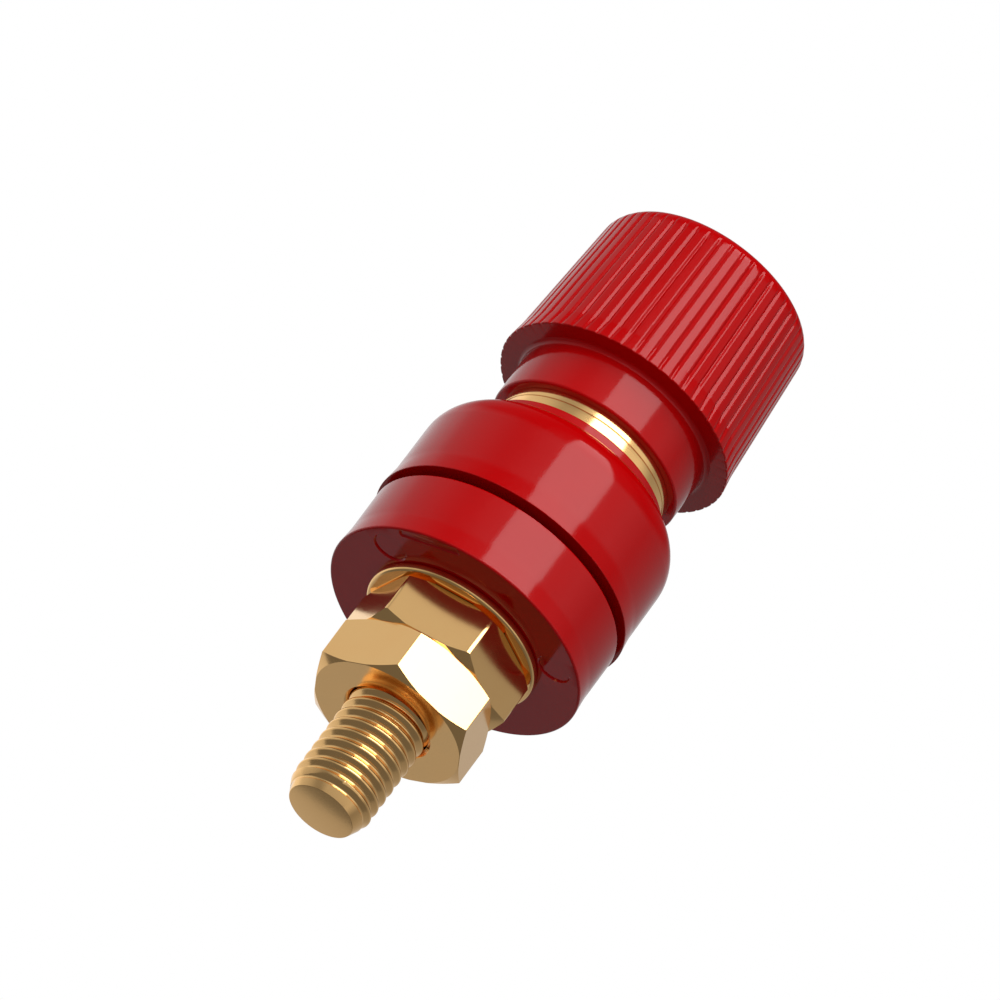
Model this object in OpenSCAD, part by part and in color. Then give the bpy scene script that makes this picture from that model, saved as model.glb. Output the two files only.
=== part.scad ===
// Heavy-duty panel binding post: a turned brass stud with a clamping collar, two moulded
// insulators that grip the panel between them, a washer and two nuts below the panel, and a
// fluted knob on a brass insert that screws down onto the collar.
// The panel's face is z = 0, the knob points up (+Z) and the stud's thread points down.

/* [Stud] */
// Thread diameter of the shank below the panel and of the post inside the knob
stud_d = 8; // [6:0.5:9]
// Bare thread that stands out below the outer nut
stud_free_l = 11.1; // [6:0.1:20]
// Height of the chamfer at the stud's tip
tip_chamfer_h = 1.7; // [0.2:0.1:2.5]
// Depth of the chamfer at the stud's tip, across the radius
tip_chamfer_w = 0.78; // [0.2:0.02:1.5]
// Diameter of the clamping collar, and of the insert's flange that meets it
collar_d = 17.2; // [16:0.1:20]
// Thickness of the clamping collar
collar_t = 1.3; // [0.8:0.1:2.5]
// Height of the threaded post above the collar
post_l = 16; // [13:0.5:17]
// Diameter of the cross hole that takes a bare wire
wire_hole_d = 4; // [2:0.5:4.5]
// Height of the cross hole's lowest point above the collar
wire_hole_lift = 1; // [0.7:0.1:2]
// Depth of the countersink at each end of the cross hole
wire_hole_sink = 0.6; // [0.5:0.05:1]
// Width across flats of the hexagon that stops the stud from turning
lock_hex_af = 11; // [10:0.5:12]
// Depth of that hexagon below the collar
lock_hex_h = 3; // [2:0.5:5]

/* [Insulators] */
// Outer diameter of both insulators beside the panel
insulator_d = 25.1; // [23:0.1:28]
// Smallest panel that the insulators grip: the gap between them at rest
panel_gap = 0.85; // [0.5:0.05:2]
// Height of the upper insulator, from the panel to its boss's top
upper_h = 11.95; // [11:0.05:14]
// Height at which the upper insulator's side rounds into its shoulder
upper_side_h = 7; // [6:0.1:7.4]
// Radius of that shoulder
shoulder_r = 4; // [3:0.1:4.3]
// Angle through which the shoulder turns before it runs straight to the boss
shoulder_turn = 66; // [50:1:72]
// Inward lean of the upper insulator's side, from its lip to its shoulder
upper_draft = 0.06; // [0:0.02:0.2]
// Height of the lip at the upper insulator's foot
lip_h = 1.9; // [1:0.1:3]
// How far that lip stands out
lip_w = 0.24; // [0.1:0.02:0.5]
// Height of the lower insulator
lower_h = 6.75; // [6:0.05:10]
// Height of the flare at the lower insulator's foot
flare_h = 2; // [1:0.1:3]
// How far that flare stands out
flare_w = 0.18; // [0.05:0.01:0.4]
// Radius on the moulded edges
edge_r = 0.2; // [0.1:0.05:0.3]
// Diameter of the spigot that passes through the panel
spigot_d = 14; // [12.5:0.1:15]
// Distance from the axis to the flat on the spigot
spigot_flat = 6; // [5.2:0.1:6.1]
// Depth of the lower insulator's pocket that takes the spigot
pocket_h = 4.35; // [3:0.05:5]
// Diameter of the ejector marks in the lower face
mark_d = 3.1; // [2:0.1:4]
// Depth of the ejector marks
mark_depth = 0.15; // [0.05:0.05:0.3]
// Distance from the lower face's rim to the middle of an ejector mark
mark_inset = 2.5; // [2.1:0.1:2.9]
// Width of the shallow gate recess at the lower face's rim
gate_w = 7; // [3:0.5:9]
// How far the gate recess reaches in from the rim
gate_inset = 1.55; // [0.8:0.05:2]
// Depth of the gate recess
gate_depth = 0.12; // [0.05:0.01:0.3]

/* [Washer and nuts] */
// How far the washer's rim stands out past the nuts' corners
washer_rim = 0.05; // [0:0.05:4]
// Thickness of the washer
washer_t = 0.9; // [0.7:0.1:2]
// Radius on the washer's edges
washer_edge_r = 0.3; // [0.1:0.05:0.35]
// Width across flats of the nuts
nut_af = 14.7; // [13:0.1:16]
// Thickness of each nut
nut_h = 5.2; // [4:0.1:7]
// Slope of the chamfer on the nuts' corners
nut_chamfer_angle = 30; // [15:1:35]
// Width of the countersink at each end of a nut's bore
nut_sink = 0.35; // [0.1:0.05:0.6]
// Turn of the inner nut about the axis
inner_nut_turn = -15.5; // [-30:0.5:30]
// Turn of the outer nut about the axis
outer_nut_turn = 14.5; // [-30:0.5:30]

/* [Knob] */
// Height of the knob's smooth neck
neck_h = 5.05; // [3:0.05:7]
// Radius of the fillet between the neck and the skirt's underside
neck_fillet = 0.5; // [0.2:0.05:0.8]
// Radius on the neck's lower edge
neck_edge_r = 0.25; // [0.1:0.05:0.4]
// Height of the fluted skirt
skirt_h = 16.3; // [13:0.1:20]
// Diameter of the skirt just above its lip
skirt_low_d = 22.7; // [22:0.1:25]
// Diameter of the skirt just below its rounded top edge
skirt_top_d = 21; // [19:0.1:22]
// Radius of the rounded top edge
skirt_top_r = 2; // [1:0.1:3]
// Height of the lip at the skirt's lower edge
skirt_lip_h = 1.8; // [1:0.1:3]
// How far that lip stands out
skirt_lip_w = 0.26; // [0.1:0.02:0.4]
// Number of flutes round the skirt
flute_count = 56; // [36:2:64]
// Radius of a flute's section
flute_r = 0.4; // [0.3:0.02:0.45]
// Depth of a flute
flute_depth = 0.3; // [0.15:0.01:0.35]
// Thickness of the brass insert's flange
flange_t = 0.9; // [0.6:0.1:2]
// Wall of the brass insert round its thread
insert_wall = 2.45; // [1.5:0.05:3]
// Length of the insert above its flange
insert_l = 13; // [10:0.5:14]
// Width of the groove that holds the insert in the plastic
groove_w = 2; // [1:0.1:4]
// Depth of that groove
groove_depth = 0.6; // [0.2:0.1:1]
// Headroom above the post inside the knob
post_headroom = 1.7; // [1:0.1:3]

/* [Fits] */
// Radial clearance between threads that run on each other
thread_clear = 0.05; // [0.02:0.01:0.1]
// Radial clearance of the stud in the upper insulator and the washer
stud_clear = 0.2; // [0.1:0.05:0.4]
// Clearance round the spigot and the stud's hexagon
seat_clear = 0.1; // [0.05:0.05:0.2]
// Radial clearance between the insert and the plastic round it
insert_clear = 0.05; // [0.02:0.01:0.1]

/* [Hidden] */

$fn = 96;           // round enough for a smooth preview; every circle is a true arc
eps = 0.01;         // overlap that keeps cuts clean
over = 1;           // how far a cutter runs past the piece that it cuts

// How far the plastic stands out past the brass, on the boss and on the neck
boss_rim = 0.75;
neck_rim = 0.8;

stud_r = stud_d / 2;
collar_r = collar_d / 2;
boss_r = collar_r + boss_rim;
neck_r = collar_r + neck_rim;
insulator_r = insulator_d / 2;
spigot_r = spigot_d / 2;
nut_corner_r = nut_af / 2 / cos(30);
washer_r = nut_corner_r + washer_rim;

// Levels below the panel, going down
lower_top_z = -panel_gap;
lower_foot_z = lower_top_z - lower_h;
washer_z = lower_foot_z - washer_t;
inner_nut_z = washer_z - nut_h;
outer_nut_z = inner_nut_z - nut_h;
stud_tip_z = outer_nut_z - stud_free_l;

// Levels above the panel, going up
collar_z = upper_h;
clamp_z = collar_z + collar_t;
post_top_z = clamp_z + post_l;
neck_z = clamp_z + flange_t;
skirt_z = neck_z + neck_h;
knob_top_z = skirt_z + skirt_h;
insert_top_z = neck_z + insert_l;

// Fills out a corner that a section cuts off straight, to its true arc
module round_corner(x, z, r) {
    translate([x, z]) circle(r = r);
}

// A nut's hexagonal body with its corners chamfered at both ends, standing on z = 0
module nut_body() {
    flat_r = nut_af / 2;
    reach = nut_corner_r - flat_r + over;
    drop = reach * tan(nut_chamfer_angle);
    intersection() {
        cylinder(r = nut_corner_r, h = nut_h, $fn = 6);
        rotate_extrude()
            polygon([
                [0, 0], [flat_r, 0], [flat_r + reach, drop],
                [flat_r + reach, nut_h - drop], [flat_r, nut_h], [0, nut_h]
            ]);
    }
}

// A round bar with one flat on its +Y side
module flatted_bar(r, flat, h) {
    difference() {
        cylinder(r = r, h = h);
        translate([-r - over, flat, -over]) cube([2 * (r + over), r, h + 2 * over]);
    }
}

// Cutter for the cross hole, along X, with a countersink at each end
module wire_hole() {
    wire_r = wire_hole_d / 2;
    translate([0, 0, clamp_z + wire_hole_lift + wire_r])
        rotate([0, 90, 0]) {
            cylinder(r = wire_r, h = 2 * (stud_r + over), center = true);
            for (end = [0, 180])
                rotate([0, end, 0])
                    translate([0, 0, stud_r - wire_hole_sink])
                        cylinder(
                            r1 = wire_r, r2 = wire_r + wire_hole_sink + over,
                            h = wire_hole_sink + over
                        );
        }
}

module stud() {
    lock_r = lock_hex_af / 2 / cos(30);
    color("goldenrod")
        difference() {
            union() {
                rotate_extrude()
                    polygon([
                        [0, stud_tip_z],
                        [stud_r - tip_chamfer_w, stud_tip_z],
                        [stud_r, stud_tip_z + tip_chamfer_h],
                        [stud_r, collar_z],
                        [collar_r, collar_z],
                        [collar_r, clamp_z],
                        [stud_r, clamp_z],
                        [stud_r, post_top_z - tip_chamfer_h],
                        [stud_r - tip_chamfer_w, post_top_z],
                        [0, post_top_z]
                    ]);
                translate([0, 0, collar_z - lock_hex_h])
                    cylinder(r = lock_r, h = lock_hex_h + eps, $fn = 6);
            }
            wire_hole();
        }
}

// Side, shoulder and boss of the upper insulator, as half of its section
module upper_profile() {
    side_low_r = insulator_r;
    side_top_r = insulator_r - upper_draft;
    arc_x = side_top_r - shoulder_r;
    turn_x = arc_x + shoulder_r * cos(shoulder_turn);
    turn_z = upper_side_h + shoulder_r * sin(shoulder_turn);
    boss_z = turn_z + (turn_x - boss_r) / tan(shoulder_turn);
    polygon([
        [0, 0],
        [insulator_r + lip_w, 0],
        [side_low_r, lip_h],
        [side_top_r, upper_side_h],
        [turn_x, turn_z],
        [boss_r, boss_z],
        [boss_r, upper_h - edge_r],
        [boss_r - edge_r, upper_h],
        [0, upper_h]
    ]);
    round_corner(arc_x, upper_side_h, shoulder_r);
    round_corner(boss_r - edge_r, upper_h - edge_r, edge_r);
}

module upper_insulator() {
    spigot_l = panel_gap + pocket_h;
    lock_r = (lock_hex_af / 2 + seat_clear) / cos(30);
    lock_floor_z = collar_z - lock_hex_h - seat_clear;
    color("firebrick")
        difference() {
            union() {
                rotate_extrude() upper_profile();
                translate([0, 0, -spigot_l])
                    flatted_bar(spigot_r, spigot_flat, spigot_l + eps);
            }
            translate([0, 0, -spigot_l - over])
                cylinder(r = stud_r + stud_clear, h = spigot_l + upper_h + 2 * over);
            translate([0, 0, lock_floor_z])
                cylinder(r = lock_r, h = upper_h - lock_floor_z + over, $fn = 6);
        }
}

// Side and flared foot of the lower insulator, as half of its section
module lower_profile() {
    foot_r = insulator_r + flare_w;
    polygon([
        [0, lower_foot_z],
        [foot_r - edge_r, lower_foot_z],
        [foot_r, lower_foot_z + edge_r],
        [insulator_r, lower_foot_z + flare_h],
        [insulator_r, lower_top_z - edge_r],
        [insulator_r - edge_r, lower_top_z],
        [0, lower_top_z]
    ]);
    round_corner(foot_r - edge_r, lower_foot_z + edge_r, edge_r);
    round_corner(insulator_r - edge_r, lower_top_z - edge_r, edge_r);
}

module lower_insulator() {
    mark_angles = [-150, -30, 90];
    gate_angle = -123;
    foot_r = insulator_r + flare_w;
    color("firebrick")
        difference() {
            rotate_extrude() lower_profile();
            // pocket for the spigot, and the way through for the stud
            translate([0, 0, lower_top_z - pocket_h])
                flatted_bar(spigot_r + seat_clear, spigot_flat + seat_clear, pocket_h + over);
            translate([0, 0, lower_foot_z - over])
                cylinder(r = stud_r + stud_clear, h = lower_h + 2 * over);
            // ejector marks and the gate recess in the lower face
            for (a = mark_angles)
                rotate(a)
                    translate([foot_r - mark_inset, 0, lower_foot_z - over])
                        cylinder(d = mark_d, h = over + mark_depth);
            rotate(gate_angle)
                translate([foot_r - gate_inset, -gate_w / 2, lower_foot_z - over])
                    cube([gate_inset + over, gate_w, over + gate_depth]);
        }
}

module flat_washer() {
    flat_r = washer_r - washer_edge_r;
    top_z = washer_z + washer_t;
    color("goldenrod")
        rotate_extrude()
            difference() {
                union() {
                    polygon([
                        [0, washer_z],
                        [flat_r, washer_z],
                        [washer_r, washer_z + washer_edge_r],
                        [washer_r, top_z - washer_edge_r],
                        [flat_r, top_z],
                        [0, top_z]
                    ]);
                    round_corner(flat_r, washer_z + washer_edge_r, washer_edge_r);
                    round_corner(flat_r, top_z - washer_edge_r, washer_edge_r);
                }
                translate([0, washer_z - over])
                    square([stud_r + stud_clear, washer_t + 2 * over]);
            }
}

// One nut with its lower face at height z
module hex_nut(z, turn) {
    bore_r = stud_r + thread_clear;
    color("goldenrod")
        translate([0, 0, z])
            difference() {
                rotate(turn) nut_body();
                rotate_extrude()
                    polygon([
                        [0, -over],
                        [bore_r + nut_sink + over, -over],
                        [bore_r, nut_sink],
                        [bore_r, nut_h - nut_sink],
                        [bore_r + nut_sink + over, nut_h + over],
                        [0, nut_h + over]
                    ]);
            }
}

module inner_nut() {
    hex_nut(inner_nut_z, inner_nut_turn);
}

module outer_nut() {
    hex_nut(outer_nut_z, outer_nut_turn);
}

// Outer surface of the insert above the knob's foot, grown by clear, as half of its section
module insert_shank(clear) {
    r = stud_r + insert_wall + clear;
    groove_z = neck_z + (insert_l - groove_w) / 2;
    difference() {
        translate([0, neck_z]) square([r, insert_l + clear]);
        translate([r - groove_depth, groove_z + clear])
            square([groove_depth + over, groove_w - 2 * clear]);
    }
}

module knob_insert() {
    color("goldenrod")
        rotate_extrude()
            difference() {
                union() {
                    translate([0, clamp_z]) square([collar_r, flange_t]);
                    insert_shank(0);
                }
                translate([0, clamp_z - over])
                    square([stud_r + thread_clear, flange_t + insert_l + 2 * over]);
            }
}

// Neck, skirt and rounded top of the knob, as half of its section
module knob_profile() {
    lip_r = skirt_low_d / 2 + skirt_lip_w;
    low_r = skirt_low_d / 2;
    top_r = skirt_top_d / 2;
    polygon([
        [0, neck_z],
        [neck_r - neck_edge_r, neck_z],
        [neck_r, neck_z + neck_edge_r],
        [neck_r, skirt_z],
        [lip_r, skirt_z],
        [low_r, skirt_z + skirt_lip_h],
        [top_r, knob_top_z - skirt_top_r],
        [top_r - skirt_top_r, knob_top_z],
        [0, knob_top_z]
    ]);
    round_corner(neck_r - neck_edge_r, neck_z + neck_edge_r, neck_edge_r);
    round_corner(top_r - skirt_top_r, knob_top_z - skirt_top_r, skirt_top_r);
    difference() {
        translate([neck_r - eps, skirt_z - neck_fillet])
            square([neck_fillet + eps, neck_fillet + eps]);
        round_corner(neck_r + neck_fillet, skirt_z - neck_fillet, neck_fillet);
    }
}

// One flute's cutter, laid along the skirt's slope on the +X side
module flute_cutter() {
    rise = skirt_h - skirt_lip_h - skirt_top_r;
    lean = atan((skirt_low_d - skirt_top_d) / 2 / rise);
    start = skirt_lip_h + over;
    translate([skirt_low_d / 2 + flute_r - flute_depth, 0, skirt_z + skirt_lip_h])
        rotate([0, -lean, 0])
            translate([0, 0, -start])
                cylinder(r = flute_r, h = start + skirt_h, $fn = 24);
}

module knob_cap() {
    color("firebrick")
        difference() {
            rotate_extrude() knob_profile();
            rotate_extrude() {
                insert_shank(insert_clear);
                translate([0, neck_z - over]) square([stud_r + insert_wall + insert_clear, over + eps]);
                translate([0, neck_z])
                    square([stud_r + stud_clear, post_top_z + post_headroom - neck_z]);
            }
            for (i = [0 : flute_count - 1])
                rotate(i * 360 / flute_count) flute_cutter();
        }
}

stud();
upper_insulator();
lower_insulator();
flat_washer();
inner_nut();
outer_nut();
knob_insert();
knob_cap();
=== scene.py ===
import bpy
import math
from mathutils import Matrix, Vector


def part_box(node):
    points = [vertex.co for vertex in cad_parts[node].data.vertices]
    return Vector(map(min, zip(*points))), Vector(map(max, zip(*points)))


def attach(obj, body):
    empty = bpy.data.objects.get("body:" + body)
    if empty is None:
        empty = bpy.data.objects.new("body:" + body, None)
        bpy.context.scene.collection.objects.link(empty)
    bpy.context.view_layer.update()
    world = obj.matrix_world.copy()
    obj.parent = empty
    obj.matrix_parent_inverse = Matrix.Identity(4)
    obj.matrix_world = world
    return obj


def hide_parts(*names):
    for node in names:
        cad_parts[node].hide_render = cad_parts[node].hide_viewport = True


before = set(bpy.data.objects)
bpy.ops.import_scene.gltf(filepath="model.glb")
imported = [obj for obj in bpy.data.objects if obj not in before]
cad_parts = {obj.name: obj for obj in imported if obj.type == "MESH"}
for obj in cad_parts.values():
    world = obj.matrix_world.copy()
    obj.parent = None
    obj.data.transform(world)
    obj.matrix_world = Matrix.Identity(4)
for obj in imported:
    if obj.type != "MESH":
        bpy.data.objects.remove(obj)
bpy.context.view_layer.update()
mm = 0.001  # sizes below are millimetres, the scene is in metres
hair = 0.001  # the finest step that counts
weld = 0.002  # points nearer than this become one
past = 1  # how far a cutter runs on past the face it cuts
roundSteps = 96  # round a bore or a bar
print("stage: frame loaded")


def low(node):
    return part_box(node)[0].z / mm


def high(node):
    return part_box(node)[1].z / mm


def radiusOf(node):
    return max(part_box(node)[1].x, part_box(node)[1].y) / mm


# a section is drawn in the XZ plane from radius, height and rounding of each corner
def drawSection(name, corners, closed, arcStep=12):
    bpy.ops.object.select_all(action="DESELECT")
    bpy.ops.mesh.primitive_plane_add(size=mm, location=(0, 0, 0))
    piece = bpy.context.object
    piece.name = name
    piece.data.name = name
    bpy.ops.object.mode_set(mode="EDIT")
    bpy.ops.mesh.select_all(action="SELECT")
    bpy.ops.mesh.merge(type="CENTER")
    points = [Vector((radius, 0, height)) for radius, height, rounding in corners]
    bpy.ops.transform.translate(value=points[0] * mm)
    here = points[0]
    if closed:
        points.append(points[0])
    for i in range(1, len(points)):
        goal = points[i]
        rounding = corners[i][2] if i < len(corners) else 0
        if rounding:
            before = (goal - points[i - 1]).normalized()
            after = (points[i + 1] - goal).normalized()
            turn = before.angle(after)
            arcStart = goal - before * rounding * math.tan(turn / 2)
            arcEnd = goal + after * rounding * math.tan(turn / 2)
            inward = (after - before * before.dot(after)).normalized()
            goal = arcStart
        if (goal - here).length > hair:
            bpy.ops.mesh.extrude_vertices_move(TRANSFORM_OT_translate={"value": (goal - here) * mm})
        here = goal
        if rounding:
            # spin turns against its axis
            bpy.ops.mesh.spin(steps=max(2, round(math.degrees(turn) / arcStep)), angle=turn,
                              center=(arcStart + inward * rounding) * mm, axis=after.cross(before).normalized())
            here = arcEnd
    bpy.ops.mesh.select_all(action="SELECT")
    bpy.ops.mesh.remove_doubles(threshold=weld * mm)
    return piece


def selectVertices(piece, test):
    bpy.ops.object.mode_set(mode="EDIT")
    bpy.ops.mesh.select_all(action="DESELECT")
    bpy.ops.object.mode_set(mode="OBJECT")
    for vertex in piece.data.vertices:
        vertex.select = test(vertex.co / mm)
    bpy.ops.object.mode_set(mode="EDIT")


def bevelUprights(piece, width, segments):
    selectVertices(piece, lambda place: False)
    bpy.ops.object.mode_set(mode="OBJECT")
    for edge in piece.data.edges:
        first, second = (piece.data.vertices[i].co for i in edge.vertices)
        edge.select = (first - second).xy.length < hair * mm
    bpy.ops.object.mode_set(mode="EDIT")
    bpy.ops.mesh.select_mode(type="EDGE")
    bpy.ops.mesh.bevel(offset=width * mm, segments=segments, affect="EDGES")
    bpy.ops.mesh.select_mode(type="VERT")
    bpy.ops.object.mode_set(mode="OBJECT")


def closeUp(piece):
    bpy.ops.mesh.select_all(action="SELECT")
    bpy.ops.mesh.remove_doubles(threshold=weld * mm)
    bpy.ops.mesh.normals_make_consistent(inside=False)
    bpy.ops.object.mode_set(mode="OBJECT")
    return piece


def turned(name, corners, steps=192, closed=True, arcStep=12):
    piece = drawSection(name, corners, closed, arcStep)
    bpy.ops.mesh.spin(steps=steps, angle=2 * math.pi, center=(0, 0, 0), axis=(0, 0, 1))
    return closeUp(piece)


def pickOnly(piece):
    bpy.ops.object.select_all(action="DESELECT")
    piece.select_set(True)
    bpy.context.view_layer.objects.active = piece


def modify(piece, kind, settings):
    pickOnly(piece)
    modifier = piece.modifiers.new("step", kind)
    for name, value in settings.items():
        setattr(modifier, name, value)
    bpy.ops.object.modifier_apply(modifier="step")


def combine(piece, other, operation):
    modify(piece, "BOOLEAN", {"operation": operation, "object": other, "solver": "EXACT"})
    bpy.data.objects.remove(other)


normalWeight = 60


def finishShape(piece, node, body, angle=32):
    pickOnly(piece)
    bpy.ops.object.shade_smooth_by_angle(angle=math.radians(angle))
    modify(piece, "WEIGHTED_NORMAL", {"keep_sharp": True, "weight": normalWeight})
    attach(piece, body)
    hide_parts(node)
    print("stage:", piece.name, len(piece.data.polygons), "faces")


def flattedBar(name, radius, flat, bottom, top):
    bpy.ops.object.select_all(action="DESELECT")
    bpy.ops.mesh.primitive_cylinder_add(vertices=roundSteps, radius=radius * mm, depth=(top - bottom) * mm,
                                        location=(0, 0, (top + bottom) / 2 * mm))
    bar = bpy.context.object
    bar.name = name
    bpy.ops.object.transform_apply()
    bpy.ops.object.mode_set(mode="EDIT")
    bpy.ops.mesh.select_all(action="SELECT")
    bpy.ops.mesh.bisect(plane_co=(0, flat * mm, 0), plane_no=(0, 1, 0), use_fill=True, clear_outer=True,
                        threshold=hair * mm)
    bpy.ops.object.mode_set(mode="OBJECT")
    return bar


def hexBar(name, acrossFlats, turn, bottom, top):
    bpy.ops.object.select_all(action="DESELECT")
    bpy.ops.mesh.primitive_cylinder_add(vertices=6, radius=acrossFlats / 2 / math.cos(math.pi / 6) * mm,
                                        depth=(top - bottom) * mm, location=(0, 0, (top + bottom) / 2 * mm),
                                        rotation=(0, 0, math.radians(turn - 90)))
    bar = bpy.context.object
    bar.name = name
    bpy.ops.object.transform_apply()
    return bar


# lower insulator: glossy disc with a flared foot, ejector marks and the gate's recess
lowerSizes = {
    "sideRadius": 12.55, "flare": 2.0, "flareRounding": 6, "edge": 0.2, "bore": 4.2,
    "pocketRadius": 7.1, "pocketFlat": 6.1, "pocketDepth": 4.35,
    "markRadius": 1.55, "markDepth": 0.15, "markInset": 2.5, "markAngles": (-150, -30, 90), "markSteps": 48,
    "gateAngle": -123, "gateWidth": 6.4, "gateReach": 1.1, "gateRim": 0.4, "gateDepth": 0.12, "gateCorner": 0.35,
    "gateCornerSteps": 5, "glint": 0.11,
}


def makeLowerInsulator():
    sizes = lowerSizes
    foot, top, rim = low("lower_insulator"), high("lower_insulator"), radiusOf("lower_insulator")
    piece = turned("lowerInsulator", [
        (sizes["bore"], foot, 0), (rim, foot, sizes["edge"]),
        (sizes["sideRadius"], foot + sizes["flare"], sizes["flareRounding"]),
        (sizes["sideRadius"], top, sizes["edge"]), (sizes["bore"], top, 0)])
    pocket = flattedBar("pocket", sizes["pocketRadius"], sizes["pocketFlat"], top - sizes["pocketDepth"], top + past)
    combine(piece, pocket, "DIFFERENCE")
    radius, depth, glint = sizes["markRadius"], sizes["markDepth"], sizes["glint"]
    for angle in sizes["markAngles"]:
        mark = turned("mark", [
            (0, -past, 0), (radius + glint, -past, 0), (radius + glint, 0, 0), (radius, glint, 0),
            (radius, depth, 0), (0, depth, 0)], steps=sizes["markSteps"], closed=False)
        mark.matrix_world = (Matrix.Rotation(math.radians(angle), 4, "Z")
                             @ Matrix.Translation(Vector((rim - sizes["markInset"], 0, foot)) * mm))
        combine(piece, mark, "DIFFERENCE")
    bpy.ops.object.select_all(action="DESELECT")
    # the cube's top is brought down to the gate's depth, its foot stays half a millimetre below
    bpy.ops.mesh.primitive_cube_add(size=mm, location=(0, 0, 0))
    gate = bpy.context.object
    gate.name = "gate"
    selectVertices(gate, lambda place: place.z > 0)
    bpy.ops.transform.translate(value=(0, 0, (sizes["gateDepth"] - 0.5) * mm))
    bpy.ops.mesh.select_all(action="SELECT")
    bpy.ops.transform.resize(value=(sizes["gateReach"], sizes["gateWidth"], 1), center_override=(0, 0, 0))
    bpy.ops.object.mode_set(mode="OBJECT")
    bevelUprights(gate, sizes["gateCorner"], sizes["gateCornerSteps"])
    middle = rim - sizes["gateRim"] - sizes["gateReach"] / 2
    gate.matrix_world = (Matrix.Rotation(math.radians(sizes["gateAngle"]), 4, "Z")
                         @ Matrix.Translation(Vector((middle, 0, foot)) * mm))
    combine(piece, gate, "DIFFERENCE")
    finishShape(piece, "lower_insulator", "grip")
    return piece


lowerInsulator = makeLowerInsulator()

# upper insulator: lipped foot, straight side, rounded shoulder, low boss and the spigot below
upperSizes = {
    "sideRadius": 12.55, "sideTopRadius": 12.49, "lip": 1.9, "lipEdge": 0.08, "lipRounding": 6, "sideTop": 7.0,
    "shoulder": 4.0, "shoulderTurn": 66, "bossRadius": 9.35, "bossFillet": 0.12, "edge": 0.2, "arcStep": 4,
    "bore": 4.2, "boreEnds": (-10, 20), "spigotRadius": 7.0, "spigotFlat": 6.0, "lockAcross": 11.2, "lockDepth": 3.1,
}


def makeUpperInsulator():
    sizes = upperSizes
    foot, top, rim = 0, high("upper_insulator"), radiusOf("upper_insulator")
    turn = math.radians(sizes["shoulderTurn"])
    # the corner where the side's line meets the shoulder's straight part
    cornerHeight = sizes["sideTop"] + sizes["shoulder"] * math.tan(turn / 2)
    bossHeight = cornerHeight + (sizes["sideTopRadius"] - sizes["bossRadius"]) / math.tan(turn)
    piece = turned("upperInsulator", [
        (0, foot, 0), (rim, foot, sizes["lipEdge"]), (sizes["sideRadius"], sizes["lip"], sizes["lipRounding"]),
        (sizes["sideTopRadius"], cornerHeight, sizes["shoulder"]),
        (sizes["bossRadius"], bossHeight, sizes["bossFillet"]), (sizes["bossRadius"], top, sizes["edge"]),
        (0, top, 0)], closed=False, arcStep=sizes["arcStep"])
    spigot = flattedBar("spigot", sizes["spigotRadius"], sizes["spigotFlat"], low("upper_insulator"), foot + past)
    combine(piece, spigot, "UNION")
    start, end = sizes["boreEnds"]
    bore = turned("bore", [(0, start, 0), (sizes["bore"], start, 0), (sizes["bore"], end, 0), (0, end, 0)],
                  steps=roundSteps, closed=False)
    combine(piece, bore, "DIFFERENCE")
    lock = hexBar("lock", sizes["lockAcross"], 0, top - sizes["lockDepth"], top + past)
    combine(piece, lock, "DIFFERENCE")
    finishShape(piece, "upper_insulator", "post")
    return piece


upperInsulator = makeUpperInsulator()

# washer: a stamped ring with rolled edges
washerSizes = {"bore": 4.2, "edge": 0.3}


def makeWasher():
    sizes = washerSizes
    foot, top, rim = low("flat_washer"), high("flat_washer"), radiusOf("flat_washer")
    piece = turned("flatWasher", [
        (sizes["bore"], foot, 0), (rim, foot, sizes["edge"]), (rim, top, sizes["edge"]), (sizes["bore"], top, 0)])
    finishShape(piece, "flat_washer", "grip")
    return piece


flatWasher = makeWasher()

# both nuts: a hexagon turned off at its corners, with a countersunk bore
nutSizes = {
    "across": 14.7, "slope": 30, "slopeReach": 3, "bore": 4.05, "sink": 0.35, "cornerSteps": 3, "smoothAngle": 20,
    "turns": {"inner_nut": -15.5, "outer_nut": 14.5}, "cornerEdge": {"inner_nut": 0.26, "outer_nut": 0.07},
}


def makeNut(name, node):
    sizes = nutSizes
    foot, top = low(node), high(node)
    piece = hexBar(name, sizes["across"], sizes["turns"][node], foot, top)
    piece.data.name = name
    bevelUprights(piece, sizes["cornerEdge"][node], sizes["cornerSteps"])
    flat, out = sizes["across"] / 2, sizes["slopeReach"]
    drop = out * math.tan(math.radians(sizes["slope"]))
    envelope = turned("envelope", [
        (0, foot, 0), (flat, foot, 0), (flat + out, foot + drop, 0), (flat + out, top - drop, 0), (flat, top, 0),
        (0, top, 0)], closed=False)
    combine(piece, envelope, "INTERSECT")
    bore, sink = sizes["bore"], sizes["sink"]
    drill = turned("drill", [
        (0, foot - past, 0), (bore + sink + past, foot - past, 0), (bore, foot + sink, 0), (bore, top - sink, 0),
        (bore + sink + past, top + past, 0), (0, top + past, 0)], steps=roundSteps, closed=False)
    combine(piece, drill, "DIFFERENCE")
    finishShape(piece, node, node, sizes["smoothAngle"])
    return piece


innerNut = makeNut("innerNut", "inner_nut")
outerNut = makeNut("outerNut", "outer_nut")

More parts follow.
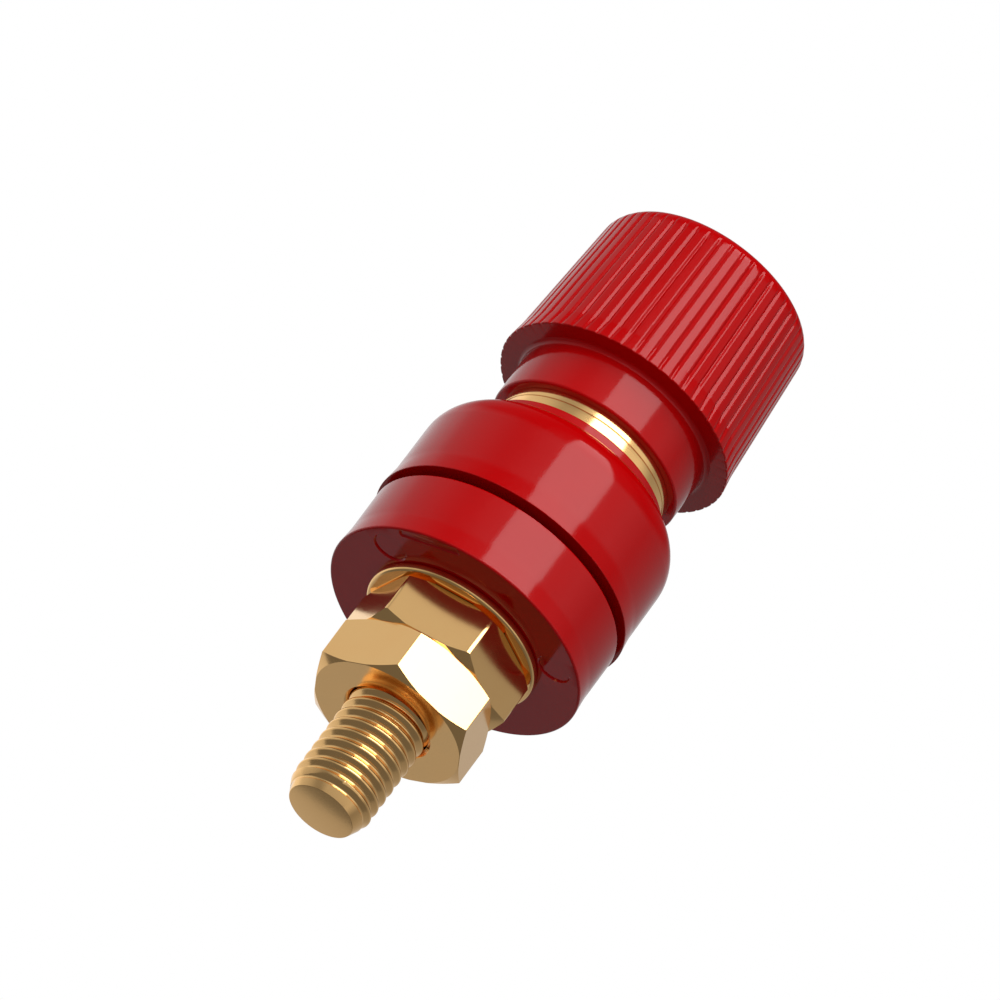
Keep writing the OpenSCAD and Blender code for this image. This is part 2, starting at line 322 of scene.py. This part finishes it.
# stud: rolled M8 thread, plain shank, clamping collar and the threaded post with its wire hole
studSizes = {
    "thread": 4.0, "pitch": 1.25, "threadDepth": 0.5, "flank": 0.4, "crest": 0.24,
    "rootRounding": 0.2, "crestRounding": 0.22, "threadSteps": 64, "threadArcStep": 20, "runOn": 0.6,
    "threadTop": -1.0, "tipFlat": 3.22, "tipCone": 1.7, "tipEdge": 0.08, "coneEnd": 5,
    "shankGap": 0.02, "shankRounding": 0.3, "overlap": 0.5, "collar": 8.6, "collarEdge": 0.08, "smoothAngle": 40,
    "lockAcross": 11.0, "lockDepth": 3.0,
    "wireHole": 2.0, "wireHoleSink": 0.6, "wireHoleLift": 1.0, "wireHoleReach": 2, "wireHoleSteps": 64,
}


# a thread wound up from one turn's section, cut level at both ends
def threadedRod(name, bottom, top):
    sizes = studSizes
    outer, inner, pitch = sizes["thread"], sizes["thread"] - sizes["threadDepth"], sizes["pitch"]
    flank = sizes["flank"]
    root = pitch - sizes["crest"] - 2 * flank
    turns = math.ceil((top - bottom) / pitch) + 3
    start = bottom - 1.5 * pitch
    rod = drawSection(name, [
        (inner, start, 0), (inner, start + root / 2, sizes["rootRounding"]),
        (outer, start + root / 2 + flank, sizes["crestRounding"]),
        (outer, start + root / 2 + flank + sizes["crest"], sizes["crestRounding"]),
        (inner, start + pitch - root / 2, sizes["rootRounding"]), (inner, start + pitch, 0)],
        closed=False, arcStep=sizes["threadArcStep"])
    bpy.ops.object.mode_set(mode="OBJECT")
    modify(rod, "SCREW", {"angle": 2 * math.pi, "screw_offset": pitch * mm, "iterations": turns, "axis": "Z",
                          "steps": sizes["threadSteps"], "render_steps": sizes["threadSteps"],
                          "use_merge_vertices": True, "merge_threshold": weld * mm})
    bpy.ops.object.mode_set(mode="EDIT")
    bpy.ops.mesh.select_all(action="SELECT")
    bpy.ops.mesh.remove_doubles(threshold=weld * mm)
    for height, outward in ((bottom, -1), (top, 1)):
        bpy.ops.mesh.select_all(action="SELECT")
        bpy.ops.mesh.bisect(plane_co=(0, 0, height * mm), plane_no=(0, 0, outward), use_fill=True, clear_outer=True,
                            threshold=hair * mm)
    return closeUp(rod)


def makeStud():
    sizes = studSizes
    tip, postTop = low("stud"), high("stud")
    collarFoot, collarTop = high("upper_insulator"), low("knob_insert")
    outer, tipFlat, cone = sizes["thread"], sizes["tipFlat"], sizes["tipCone"]
    far = tipFlat + 2 * (outer - tipFlat)
    edge, coneEnd, runOn, overlap = sizes["tipEdge"], sizes["coneEnd"], sizes["runOn"], sizes["overlap"]
    # the rods run on past their tips, and a pointed envelope trims them
    piece = threadedRod("threadedStud", tip - runOn, sizes["threadTop"])
    point = turned("point", [
        (0, tip, 0), (tipFlat, tip, edge), (far, tip + 2 * cone, 0), (coneEnd, 0, 0), (0, 0, 0)],
        steps=roundSteps, closed=False)
    combine(piece, point, "INTERSECT")
    shank, shankFoot = outer - sizes["shankGap"], sizes["threadTop"] - runOn
    middle = turned("middle", [
        (0, shankFoot, 0), (shank, shankFoot, sizes["shankRounding"]), (shank, collarFoot, 0),
        (sizes["collar"], collarFoot, sizes["collarEdge"]), (sizes["collar"], collarTop, sizes["collarEdge"]),
        (0, collarTop, 0)], closed=False)
    lock = hexBar("lock", sizes["lockAcross"], 0, collarFoot - sizes["lockDepth"], collarFoot + overlap)
    combine(middle, lock, "UNION")
    post = threadedRod("post", collarTop - overlap, postTop + runOn)
    point = turned("point", [
        (0, collarTop - past, 0), (coneEnd, collarTop - past, 0), (far, postTop - 2 * cone, 0),
        (tipFlat, postTop, edge), (0, postTop, 0)], steps=roundSteps, closed=False)
    combine(post, point, "INTERSECT")
    combine(middle, post, "UNION")
    combine(piece, middle, "UNION")
    hole, sink, reach = sizes["wireHole"], sizes["wireHoleSink"], sizes["wireHoleReach"]
    drill = turned("drill", [
        (0, -outer - reach, 0), (hole + sink + reach, -outer - reach, 0), (hole, sink - outer, 0),
        (hole, outer - sink, 0), (hole + sink + reach, outer + reach, 0), (0, outer + reach, 0)],
        steps=sizes["wireHoleSteps"], closed=False)
    drill.matrix_world = (Matrix.Translation(Vector((0, 0, collarTop + sizes["wireHoleLift"] + hole)) * mm)
                          @ Matrix.Rotation(math.pi / 2, 4, "Y"))
    combine(piece, drill, "DIFFERENCE")
    finishShape(piece, "stud", "post", sizes["smoothAngle"])
    return piece


threadedStud = makeStud()

# brass insert in the knob: flange below, grooved shank above
insertSizes = {
    "flange": 8.6, "edge": 0.08, "shank": 6.45, "bore": 4.05, "sink": 0.35, "groove": 2.0, "grooveDepth": 0.6,
}


def makeInsert():
    sizes = insertSizes
    foot, seat, top = low("knob_insert"), low("knob_cap"), high("knob_insert")
    middle, half = (seat + top) / 2, sizes["groove"] / 2
    inner = sizes["shank"] - sizes["grooveDepth"]
    piece = turned("knobInsert", [
        (sizes["bore"], foot + sizes["sink"], 0), (sizes["bore"] + sizes["sink"], foot, 0),
        (sizes["flange"], foot, sizes["edge"]), (sizes["flange"], seat, sizes["edge"]), (sizes["shank"], seat, 0),
        (sizes["shank"], middle - half, 0), (inner, middle - half, 0), (inner, middle + half, 0),
        (sizes["shank"], middle + half, 0), (sizes["shank"], top, 0), (sizes["bore"], top, 0)])
    finishShape(piece, "knob_insert", "knob_insert")
    return piece


knobInsert = makeInsert()

# knob: smooth neck, skirt with a thin lip and soft flutes, rounded top edge
capSizes = {
    "neckRadius": 9.4, "neckHeight": 5.05, "neckEdge": 0.25, "neckFillet": 0.5,
    "lipRadius": 11.61, "lipHeight": 1.8, "lipEdge": 0.12, "lipBlend": 0.8, "lowRadius": 11.35,
    "topRadius": 10.5, "topRounding": 2.0, "topEdge": 1.85, "arcStep": 9, "smoothAngle": 40,
    "flutes": 56, "columns": 14, "fluteDepth": 0.18, "fluteWidth": 0.56, "fluteInside": 9.95,
    "lipFade": 0.45, "lipMargin": 0.1, "topFade": 1.6, "topFadeStart": 0.5,
    "boreRadius": 6.5, "boreTop": 27.2, "cavityRadius": 4.2, "cavityTop": 30.95,
}


def makeCap():
    sizes = capSizes
    foot, top = low("knob_cap"), high("knob_cap")
    skirt = foot + sizes["neckHeight"]
    lipTop, roundStart = skirt + sizes["lipHeight"], top - sizes["topRounding"]
    slope = (sizes["lowRadius"] - sizes["topRadius"]) / (roundStart - lipTop)
    piece = drawSection("knobCap", [
        (0, sizes["cavityTop"], 0), (sizes["cavityRadius"], sizes["cavityTop"], 0),
        (sizes["cavityRadius"], sizes["boreTop"], 0), (sizes["boreRadius"], sizes["boreTop"], 0),
        (sizes["boreRadius"], foot, 0),
        (sizes["neckRadius"], foot, sizes["neckEdge"]), (sizes["neckRadius"], skirt, sizes["neckFillet"]),
        (sizes["lipRadius"], skirt, sizes["lipEdge"]), (sizes["lowRadius"], lipTop, sizes["lipBlend"]),
        (sizes["topRadius"], roundStart, 0),
        (sizes["topRadius"] - slope * sizes["topRounding"], top, sizes["topEdge"]), (0, top, 0)],
        closed=False, arcStep=sizes["arcStep"])
    # one flute's width of the knob, pressed in column by column, then copied round
    sector = 2 * math.pi / sizes["flutes"]
    bpy.ops.mesh.spin(steps=sizes["columns"], angle=-sector, center=(0, 0, 0), axis=(0, 0, 1))
    bpy.ops.object.mode_set(mode="OBJECT")
    places = [vertex.co / mm for vertex in piece.data.vertices]
    heights = sorted({round(place.z, 2) for place in places
                      if place.z > skirt - 0.01 and place.xy.length > sizes["fluteInside"]})
    sameHeight, sameAngle = 0.005, sector / 40
    for column in range(1, sizes["columns"]):
        angle = sector * column / sizes["columns"]
        aside = abs(column / sizes["columns"] - 0.5) * sector * sizes["lowRadius"]
        press = math.cos(math.pi * min(0.5, aside / sizes["fluteWidth"])) ** 2
        for height in heights:
            fade = max(0, min(1, (top - height) / sizes["topRounding"] * sizes["topFade"] - sizes["topFadeStart"]))
            if height < lipTop - sizes["lipMargin"]:
                fade = sizes["lipFade"]
            selectVertices(piece, lambda place: abs(place.z - height) < sameHeight
                           and place.xy.length > sizes["fluteInside"]
                           and abs(math.atan2(place.y, place.x) - angle) < sameAngle)
            scale = 1 - sizes["fluteDepth"] * fade * press / sizes["lowRadius"]
            bpy.ops.transform.resize(value=(scale, scale, 1), center_override=(0, 0, 0))
            bpy.ops.object.mode_set(mode="OBJECT")
    bpy.ops.object.mode_set(mode="EDIT")
    bpy.ops.mesh.select_all(action="SELECT")
    others = sizes["flutes"] - 1
    bpy.ops.mesh.spin(steps=others, angle=others * sector, center=(0, 0, 0), axis=(0, 0, 1), dupli=True)
    closeUp(piece)
    finishShape(piece, "knob_cap", "knob", sizes["smoothAngle"])
    return piece


knobCap = makeCap()


# number maths on sockets, written as plain expressions
class Signal:
    def __init__(self, finish, socket):
        self.finish = finish
        self.socket = socket

    def maths(self, operation, first, second):
        return self.finish.node("ShaderNodeMath", {"operation": operation}, {0: first, 1: second})

    def __add__(self, other):
        return self.maths("ADD", self, other)

    def __rsub__(self, other):
        return self.maths("SUBTRACT", other, self)

    def __mul__(self, other):
        return self.maths("MULTIPLY", self, other)

    def __truediv__(self, other):
        return self.maths("DIVIDE", self, other)

    def __pow__(self, other):
        return self.maths("POWER", self, other)


class Finish:
    def __init__(self, tree):
        self.tree = tree
        tree.nodes.clear()

    def node(self, kind, settings, sockets, output=0):
        made = self.tree.nodes.new(kind)
        for name, value in settings.items():
            if name == "stops":
                while len(made.color_ramp.elements) < len(value):
                    made.color_ramp.elements.new(0.5)
                for element, (place, colour) in zip(made.color_ramp.elements, value):
                    element.position = place
                    element.color = (*colour, 1)
            else:
                setattr(made, name, value)
        for name, value in sockets.items():
            if isinstance(value, Signal):
                self.tree.links.new(value.socket, made.inputs[name])
            else:
                made.inputs[name].default_value = value
        return Signal(self, made.outputs[output]) if made.outputs else made


# camera: far back with a long lens, a little below the post, which leans to the right
view = {
    "distance": 3500.0, "tilt": -29.9, "lean": 36.68, "field": 87.06, "right": 3.97, "up": 11.48,
    "sensor": 36, "clipStart": 0.1, "clipEnd": 20,
}
tilt = math.radians(view["tilt"])
forward = Vector((0, math.cos(tilt), -math.sin(tilt)))
levelUp = Vector((0, math.sin(tilt), math.cos(tilt)))
sideways = Vector((1, 0, 0))
lean = math.radians(view["lean"])
pictureRight = math.cos(lean) * sideways + math.sin(lean) * levelUp
pictureUp = -math.sin(lean) * sideways + math.cos(lean) * levelUp
seat = Vector((0, 0, low("lower_insulator")))
target = seat + view["right"] * pictureRight + view["up"] * pictureUp
bpy.ops.object.camera_add(location=(target - forward * view["distance"]) * mm)
camera = bpy.context.object
camera.name = "camera"
camera.rotation_mode = "QUATERNION"
camera.rotation_quaternion = Matrix((pictureRight, pictureUp, -forward)).transposed().to_quaternion()
camera.data.sensor_width = view["sensor"]
camera.data.lens = view["sensor"] * view["distance"] / view["field"]
camera.data.clip_start, camera.data.clip_end = view["clipStart"], view["clipEnd"]
bpy.context.scene.camera = camera


def areaLamp(name, settings):
    azimuth = math.radians(settings["azimuth"])
    toLamp = Vector((math.sin(azimuth), -math.cos(azimuth), 0))
    across, upright = Vector((math.cos(azimuth), math.sin(azimuth), 0)), Vector((0, 0, 1))
    middle = (settings["bottom"] + settings["top"]) / 2
    bpy.ops.object.light_add(type="AREA", location=(toLamp * settings["distance"] + upright * middle) * mm)
    lamp = bpy.context.object
    lamp.name = name
    lamp.rotation_mode = "QUATERNION"
    lamp.rotation_quaternion = Matrix((across, upright, toLamp)).transposed().to_quaternion()
    lamp.data.shape = "RECTANGLE"
    lamp.data.size, lamp.data.size_y = settings["width"] * mm, (settings["top"] - settings["bottom"]) * mm
    lamp.data.energy = settings["brightness"] * math.pi * lamp.data.size * lamp.data.size_y
    lamp.visible_diffuse, lamp.visible_glossy = settings["lights"], settings["shines"]


# one tall softbox gives the highlight; a plain copy of it does the lighting
areaLamp("softboxShine", {"azimuth": 6.6, "distance": 600, "width": 540, "bottom": 170, "top": 1900,
                          "brightness": 4.0, "lights": False, "shines": True})
areaLamp("softboxLight", {"azimuth": -6, "distance": 650, "width": 1000, "bottom": -150, "top": 1500,
                          "brightness": 2.0, "lights": True, "shines": False})

world = bpy.data.worlds.new("studio")
bpy.context.scene.world = world
world.use_nodes = True
air = Finish(world.node_tree)
heading = air.node("ShaderNodeTexCoord", {}, {}, "Generated")
headingX, headingY, upness = (air.node("ShaderNodeSeparateXYZ", {}, {0: heading}, axis) for axis in "XYZ")
# once round the studio, from behind by the left, the front and the right to behind again
turnAround = air.node("ShaderNodeMath", {"operation": "ARCTAN2"}, {0: headingX, 1: 0 - headingY}) / (2 * math.pi) + 0.5
walls = air.node("ShaderNodeValToRGB", {"stops": [
    (0.0, (0.7, 0.7, 0.7)), (0.06, (1, 1, 1)), (0.17, (1, 1, 1)), (0.2, (0.75, 0.75, 0.75)),
    (0.28, (0.62, 0.62, 0.62)), (0.34, (0.4, 0.4, 0.4)), (0.38, (0.42, 0.42, 0.42)), (0.43, (0.7, 0.7, 0.7)),
    (0.66, (0.8, 0.8, 0.8)), (0.73, (0.35, 0.35, 0.35)), (0.9, (0.45, 0.45, 0.45)), (1.0, (0.7, 0.7, 0.7))]},
    {0: turnAround})
height = air.node("ShaderNodeValToRGB", {"stops": [
    (0.0, (0.2, 0.2, 0.2)), (0.22, (0.6, 0.6, 0.6)), (0.42, (0.75, 0.75, 0.75)), (0.6, (1, 1, 1)), (0.77, (1, 1, 1)),
    (0.85, (0.2, 0.2, 0.2)), (1.0, (0.05, 0.05, 0.05))]}, {0: upness * 0.5 + 0.5})
mirrored = air.node("ShaderNodeMix", {"data_type": "RGBA", "blend_type": "MULTIPLY"},
                    {"Factor": 1.0, 6: walls, 7: height}, 2)
soft = air.node("ShaderNodeValToRGB", {"stops": [
    (0.0, (0.03, 0.03, 0.03)), (0.45, (0.1, 0.1, 0.1)), (1.0, (0.4, 0.4, 0.4))]}, {0: upness * 0.5 + 0.5})
lightPath = {name: air.node("ShaderNodeLightPath", {}, {}, name) for name in ("Is Camera Ray", "Is Glossy Ray")}
tone = air.node("ShaderNodeMix", {"data_type": "RGBA"}, {"Factor": lightPath["Is Glossy Ray"], 6: soft, 7: mirrored}, 2)
white = (1, 1, 1, 1)
tone = air.node("ShaderNodeMix", {"data_type": "RGBA"}, {"Factor": lightPath["Is Camera Ray"], 6: tone, 7: white}, 2)
background = air.node("ShaderNodeBackground", {}, {"Color": tone, "Strength": 1.0})
air.node("ShaderNodeOutputWorld", {}, {"Surface": background})

floorSizes = {"side": 6, "level": -1.9}  # metres
bpy.ops.object.select_all(action="DESELECT")
bpy.ops.mesh.primitive_plane_add(size=floorSizes["side"], location=(0, 0, floorSizes["level"]))
floor = bpy.context.object
floor.name = "floor"
bpy.context.scene.view_settings.view_transform = "Standard"
print("stage: camera and lamps")


def newFinish(name):
    material = bpy.data.materials.new(name)
    material.use_nodes = True
    return material, Finish(material.node_tree)


# glossy moulded plastic: faint flow mottle, uneven polish and a trace of orange peel
plasticLook = {
    "red": (0.54, 0.0, 0.001), "deepRed": (0.48, 0.0, 0.0008), "polish": 0.11, "unevenness": 0.07, "mirror": 0.24,
    "peel": 0.004, "peelStrength": 0.25, "flowScale": 140.0, "hazeScale": 420.0, "peelScale": 1300.0,
}


def makePlastic():
    look = plasticLook
    material, finish = newFinish("redPlastic")
    place = finish.node("ShaderNodeTexCoord", {}, {}, "Object")
    flow = finish.node("ShaderNodeTexNoise", {}, {
        "Vector": place, "Scale": look["flowScale"], "Detail": 3.0, "Distortion": 0.8})
    haze = finish.node("ShaderNodeTexNoise", {}, {"Vector": place, "Scale": look["hazeScale"], "Detail": 4.0})
    peel = finish.node("ShaderNodeTexNoise", {}, {"Vector": place, "Scale": look["peelScale"], "Detail": 1.0})
    colour = finish.node("ShaderNodeMix", {"data_type": "RGBA"},
                         {"Factor": flow, 6: (*look["deepRed"], 1), 7: (*look["red"], 1)}, 2)
    bump = finish.node("ShaderNodeBump", {}, {
        "Strength": look["peelStrength"], "Distance": look["peel"] * mm, "Height": peel})
    shader = finish.node("ShaderNodeBsdfPrincipled", {}, {
        "Base Color": colour, "Roughness": haze * look["unevenness"] + (look["polish"] - look["unevenness"] / 2),
        "Specular IOR Level": look["mirror"], "Normal": bump})
    finish.node("ShaderNodeOutputMaterial", {}, {"Surface": shader})
    return material


# turned brass: tool rings round the axis, a slightly uneven tone and polish
brassLook = {
    "tone": (0.98, 0.62, 0.26), "warmTone": (0.95, 0.56, 0.22), "polish": 0.14, "unevenness": 0.08,
    "ringPitch": 0.16, "ringHeight": 0.0012, "ringStrength": 0.3, "tarnishScale": 260.0, "grainScale": 1600.0,
}


def makeBrass():
    look = brassLook
    material, finish = newFinish("turnedBrass")
    place = finish.node("ShaderNodeTexCoord", {}, {}, "Object")
    alongX, alongY, alongZ = (finish.node("ShaderNodeSeparateXYZ", {}, {0: place}, axis) for axis in "XYZ")
    radius = (alongX * alongX + alongY * alongY) ** 0.5
    tarnish = finish.node("ShaderNodeTexNoise", {}, {"Vector": place, "Scale": look["tarnishScale"], "Detail": 4.0})
    grain = finish.node("ShaderNodeTexNoise", {}, {"Vector": place, "Scale": look["grainScale"], "Detail": 2.0})
    ringPhase = (radius + alongZ) * (2 * math.pi / (look["ringPitch"] * mm))
    rings = finish.node("ShaderNodeMath", {"operation": "SINE"}, {0: ringPhase})
    colour = finish.node("ShaderNodeMix", {"data_type": "RGBA"},
                         {"Factor": tarnish, 6: (*look["warmTone"], 1), 7: (*look["tone"], 1)}, 2)
    bump = finish.node("ShaderNodeBump", {}, {
        "Strength": look["ringStrength"], "Distance": look["ringHeight"] * mm, "Height": rings * 0.5 + grain})
    shader = finish.node("ShaderNodeBsdfPrincipled", {}, {
        "Base Color": colour, "Metallic": 1.0, "Normal": bump,
        "Roughness": tarnish * look["unevenness"] + (look["polish"] - look["unevenness"] / 2)})
    finish.node("ShaderNodeOutputMaterial", {}, {"Surface": shader})
    return material


def makeFloorFinish():
    material, finish = newFinish("paleFloor")
    shade = finish.node("ShaderNodeTexNoise", {}, {"Scale": 3.0})
    tone = finish.node("ShaderNodeMix", {"data_type": "RGBA"},
                       {"Factor": shade, 6: (0.84, 0.84, 0.84, 1), 7: (0.88, 0.88, 0.88, 1)}, 2)
    pale = finish.node("ShaderNodeBsdfDiffuse", {}, {"Color": tone})
    dim = finish.node("ShaderNodeEmission", {}, {"Color": (0.16, 0.16, 0.16, 1)})
    seen = finish.node("ShaderNodeLightPath", {}, {}, "Is Camera Ray")
    finish.node("ShaderNodeOutputMaterial", {}, {
        "Surface": finish.node("ShaderNodeMixShader", {}, {0: seen, 1: dim, 2: pale})})
    return material


redPlastic, turnedBrass = makePlastic(), makeBrass()
floor.data.materials.append(makeFloorFinish())
for piece in (lowerInsulator, upperInsulator, knobCap):
    piece.data.materials.append(redPlastic)
for piece in (threadedStud, flatWasher, innerNut, outerNut, knobInsert):
    piece.data.materials.append(turnedBrass)
print("stage: finishes")
